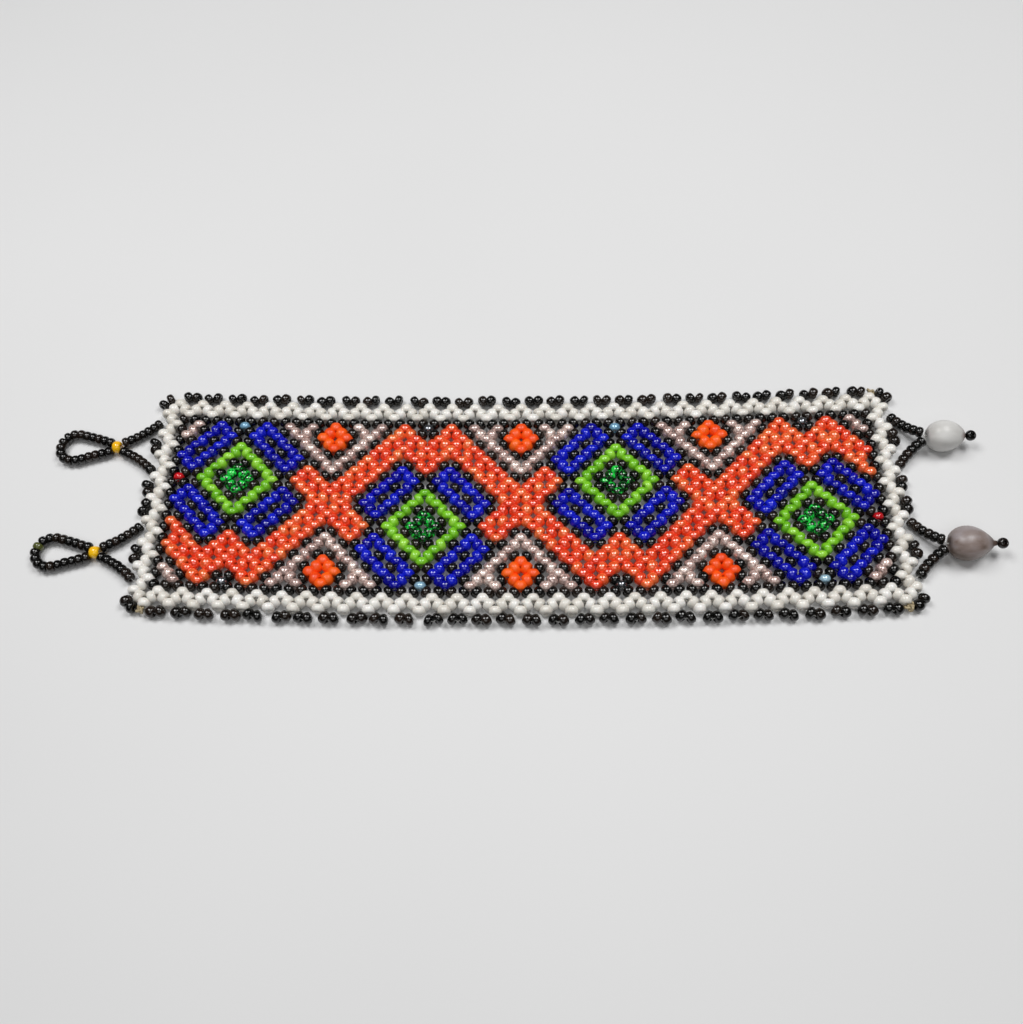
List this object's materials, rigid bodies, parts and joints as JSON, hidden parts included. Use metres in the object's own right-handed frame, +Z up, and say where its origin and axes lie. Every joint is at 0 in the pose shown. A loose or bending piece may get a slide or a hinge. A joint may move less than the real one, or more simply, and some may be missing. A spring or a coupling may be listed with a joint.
{
  "type": "netted glass bead bracelet",
  "caption": "Flat netted glass-bead bracelet with rosette and flower motifs, two bead loops at one end and two drilled seed toggles at the other; the band curls into a cuff.",
  "frame": {"origin": "under the middle of the band, on the surface that the flat bracelet lies on", "axes": "+X along the band towards the seed toggles, +Y across the band, +Z up out of the band's face"},
  "size_m": [0.1928, 0.0512, 0.007],
  "materials": {
    "white_glass": "opaque glossy glass",
    "black_glass": "opaque glossy glass",
    "coral_lustre_glass": "opaque glass with a pearl lustre",
    "pale_pink_pearl_glass": "pearl glass",
    "orange_glass": "opaque satin glass",
    "cobalt_blue_glass": "opaque glossy glass",
    "lime_green_glass": "opaque glossy glass",
    "emerald_lined_glass": "transparent glass with a silvered hole",
    "yellow_glass": "opaque glossy glass",
    "clear_nylon": "clear beading thread",
    "grey_seed": "polished hard seed",
    "brown_seed": "polished hard seed with streaks"
  },
  "bodies": {
    "rosette_1": {"rosette_1_white": "white_glass", "rosette_1_black": "black_glass", "rosette_1_coral": "coral_lustre_glass", "rosette_1_pink": "pale_pink_pearl_glass", "rosette_1_blue": "cobalt_blue_glass", "rosette_1_lime": "lime_green_glass", "rosette_1_emerald": "emerald_lined_glass", "rosette_1_thread": "clear_nylon"},
    "flower_1": {"flower_1_white": "white_glass", "flower_1_black": "black_glass", "flower_1_coral": "coral_lustre_glass", "flower_1_pink": "pale_pink_pearl_glass", "flower_1_orange": "orange_glass", "flower_1_thread": "clear_nylon"},
    "rosette_2": {"rosette_2_white": "white_glass", "rosette_2_black": "black_glass", "rosette_2_coral": "coral_lustre_glass", "rosette_2_blue": "cobalt_blue_glass", "rosette_2_lime": "lime_green_glass", "rosette_2_emerald": "emerald_lined_glass", "rosette_2_thread": "clear_nylon"},
    "flower_2": {"flower_2_white": "white_glass", "flower_2_black": "black_glass", "flower_2_coral": "coral_lustre_glass", "flower_2_pink": "pale_pink_pearl_glass", "flower_2_orange": "orange_glass", "flower_2_thread": "clear_nylon"},
    "rosette_3": {"rosette_3_white": "white_glass", "rosette_3_black": "black_glass", "rosette_3_coral": "coral_lustre_glass", "rosette_3_blue": "cobalt_blue_glass", "rosette_3_lime": "lime_green_glass", "rosette_3_emerald": "emerald_lined_glass", "rosette_3_thread": "clear_nylon"},
    "flower_3": {"flower_3_white": "white_glass", "flower_3_black": "black_glass", "flower_3_coral": "coral_lustre_glass", "flower_3_pink": "pale_pink_pearl_glass", "flower_3_orange": "orange_glass", "flower_3_thread": "clear_nylon"},
    "rosette_4": {"rosette_4_white": "white_glass", "rosette_4_black": "black_glass", "rosette_4_coral": "coral_lustre_glass", "rosette_4_pink": "pale_pink_pearl_glass", "rosette_4_blue": "cobalt_blue_glass", "rosette_4_lime": "lime_green_glass", "rosette_4_emerald": "emerald_lined_glass", "rosette_4_thread": "clear_nylon"},
    "upper_loop": {"upper_loop_beads": "black_glass", "upper_loop_gate": "yellow_glass", "upper_loop_thread": "clear_nylon"},
    "lower_loop": {"lower_loop_beads": "black_glass", "lower_loop_gate": "yellow_glass", "lower_loop_thread": "clear_nylon"},
    "upper_toggle": {"upper_toggle_beads": "black_glass", "upper_toggle_thread": "clear_nylon"},
    "upper_seed": {"upper_seed": "grey_seed"},
    "lower_toggle": {"lower_toggle_beads": "black_glass", "lower_toggle_thread": "clear_nylon"},
    "lower_seed": {"lower_seed": "brown_seed"}
  },
  "joints": [
    {"name": "bend_4", "type": "hinge", "parent": "flower_2", "child": "rosette_3", "pos_m": [0.00735, 0, 0.00109], "axis": [0, -1, 0], "range_deg": [0, 38]},
    {"name": "bend_3", "type": "hinge", "parent": "flower_2", "child": "rosette_2", "pos_m": [-0.00735, 0, 0.00109], "axis": [0, 1, 0], "range_deg": [0, 38]},
    {"name": "bend_5", "type": "hinge", "parent": "rosette_3", "child": "flower_3", "pos_m": [0.03185, 0, 0.00109], "axis": [0, -1, 0], "range_deg": [0, 38]},
    {"name": "bend_2", "type": "hinge", "parent": "rosette_2", "child": "flower_1", "pos_m": [-0.03185, 0, 0.00109], "axis": [0, 1, 0], "range_deg": [0, 38]},
    {"name": "bend_6", "type": "hinge", "parent": "flower_3", "child": "rosette_4", "pos_m": [0.04655, 0, 0.00109], "axis": [0, -1, 0], "range_deg": [0, 38]},
    {"name": "bend_1", "type": "hinge", "parent": "flower_1", "child": "rosette_1", "pos_m": [-0.04655, 0, 0.00109], "axis": [0, 1, 0], "range_deg": [0, 38]},
    {"name": "upper_loop_swing", "type": "hinge", "parent": "rosette_1", "child": "upper_loop", "pos_m": [-0.07595, 0, 0.00109], "axis": [0, 1, 0], "range_deg": [0, 35]},
    {"name": "lower_loop_swing", "type": "hinge", "parent": "rosette_1", "child": "lower_loop", "pos_m": [-0.07595, 0, 0.00109], "axis": [0, 1, 0], "range_deg": [0, 35]},
    {"name": "upper_toggle_swing", "type": "hinge", "parent": "rosette_4", "child": "upper_toggle", "pos_m": [0.07595, 0, 0.00109], "axis": [0, -1, 0], "range_deg": [0, 35]},
    {"name": "lower_toggle_swing", "type": "hinge", "parent": "rosette_4", "child": "lower_toggle", "pos_m": [0.07595, 0, 0.00109], "axis": [0, -1, 0], "range_deg": [0, 35]},
    {"name": "upper_seed_spin", "type": "hinge", "parent": "upper_toggle", "child": "upper_seed", "pos_m": [0.08285, 0.0122, 0.0033], "axis": [1, 0, 0], "continuous": true},
    {"name": "lower_seed_spin", "type": "hinge", "parent": "lower_toggle", "child": "lower_seed", "pos_m": [0.08285, -0.0122, 0.00345], "axis": [1, 0, 0], "continuous": true}
  ],
  "couplings": [
    {"joint": "bend_3", "follows": "bend_4", "ratio": 1},
    {"joint": "bend_5", "follows": "bend_4", "ratio": 1},
    {"joint": "bend_2", "follows": "bend_4", "ratio": 1},
    {"joint": "bend_6", "follows": "bend_4", "ratio": 1},
    {"joint": "bend_1", "follows": "bend_4", "ratio": 1}
  ]
}
